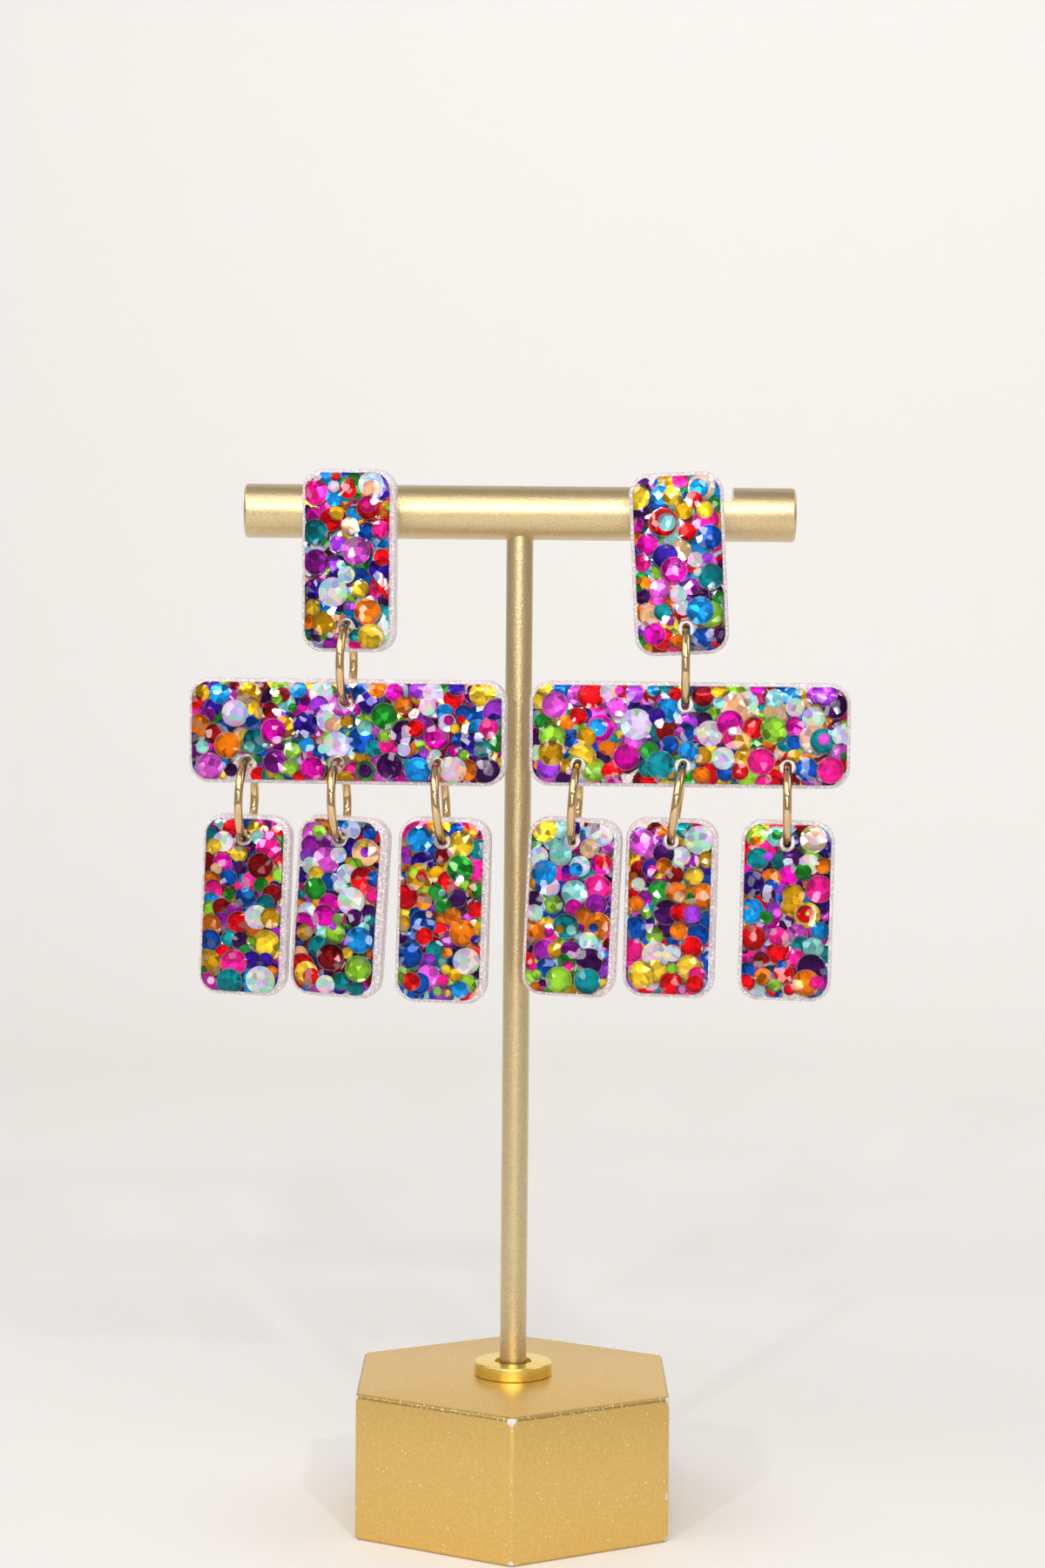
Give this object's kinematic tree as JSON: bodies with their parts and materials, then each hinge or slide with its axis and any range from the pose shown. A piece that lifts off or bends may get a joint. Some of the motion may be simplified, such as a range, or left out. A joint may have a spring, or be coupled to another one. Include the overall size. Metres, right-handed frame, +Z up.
{
  "type": "pair of chandelier earrings on a t-bar stand",
  "caption": "Two tile chandelier earrings on jump rings, hanging by their ear posts from a T-bar stand with a hexagonal base.",
  "frame": {"origin": "centre of the base's underside", "axes": "+Z up along the post, +X to the viewer's right along the T-bar, the earrings' fronts face -Y"},
  "size_m": [0.0726, 0.0396, 0.1174],
  "materials": {
    "base_paint": "satin gold paint on cast metal, chipped to a white primer at corners",
    "disc_gold": "turned and anodised bright gold",
    "bar_paint": "fine-grit satin champagne gold",
    "ring_gold": "polished, light gold plated",
    "pin_steel": "smooth, light gold plated",
    "pearl_resin": "pearl white cast resin full of fine glitter",
    "dot_resin": "clear domed resin over many round iridescent film dots in bright mixed colours"
  },
  "bodies": {
    "root": {"hex_base": "base_paint", "base_disc": "disc_gold", "post": "bar_paint", "t_bar": "bar_paint", "left_stud_slab": "pearl_resin", "left_stud_face": "dot_resin", "left_ear_post": "pin_steel", "right_stud_slab": "pearl_resin", "right_stud_face": "dot_resin", "right_ear_post": "pin_steel"},
    "left_main_drop": {"left_ring_top": "ring_gold", "left_bar_slab": "pearl_resin", "left_bar_face": "dot_resin", "left_ring_outer": "ring_gold", "left_drop_outer_slab": "pearl_resin", "left_drop_outer_face": "dot_resin", "left_ring_middle": "ring_gold", "left_drop_middle_slab": "pearl_resin", "left_drop_middle_face": "dot_resin", "left_ring_inner": "ring_gold", "left_drop_inner_slab": "pearl_resin", "left_drop_inner_face": "dot_resin"},
    "right_main_drop": {"right_ring_top": "ring_gold", "right_bar_slab": "pearl_resin", "right_bar_face": "dot_resin", "right_ring_inner": "ring_gold", "right_drop_inner_slab": "pearl_resin", "right_drop_inner_face": "dot_resin", "right_ring_middle": "ring_gold", "right_drop_middle_slab": "pearl_resin", "right_drop_middle_face": "dot_resin", "right_ring_outer": "ring_gold", "right_drop_outer_slab": "pearl_resin", "right_drop_outer_face": "dot_resin"}
  },
  "joints": [
    {"name": "left_drop_swing", "type": "hinge", "parent": "root", "child": "left_main_drop", "pos_m": [-0.01882, -0.00599, 0.09606], "axis": [-0.9925, 0.1219, 0], "range_deg": [-24, 110]},
    {"name": "right_drop_swing", "type": "hinge", "parent": "root", "child": "right_main_drop", "pos_m": [0.01826, -0.00586, 0.09604], "axis": [-0.9986, 0.0523, 0], "range_deg": [-3, 110]}
  ]
}
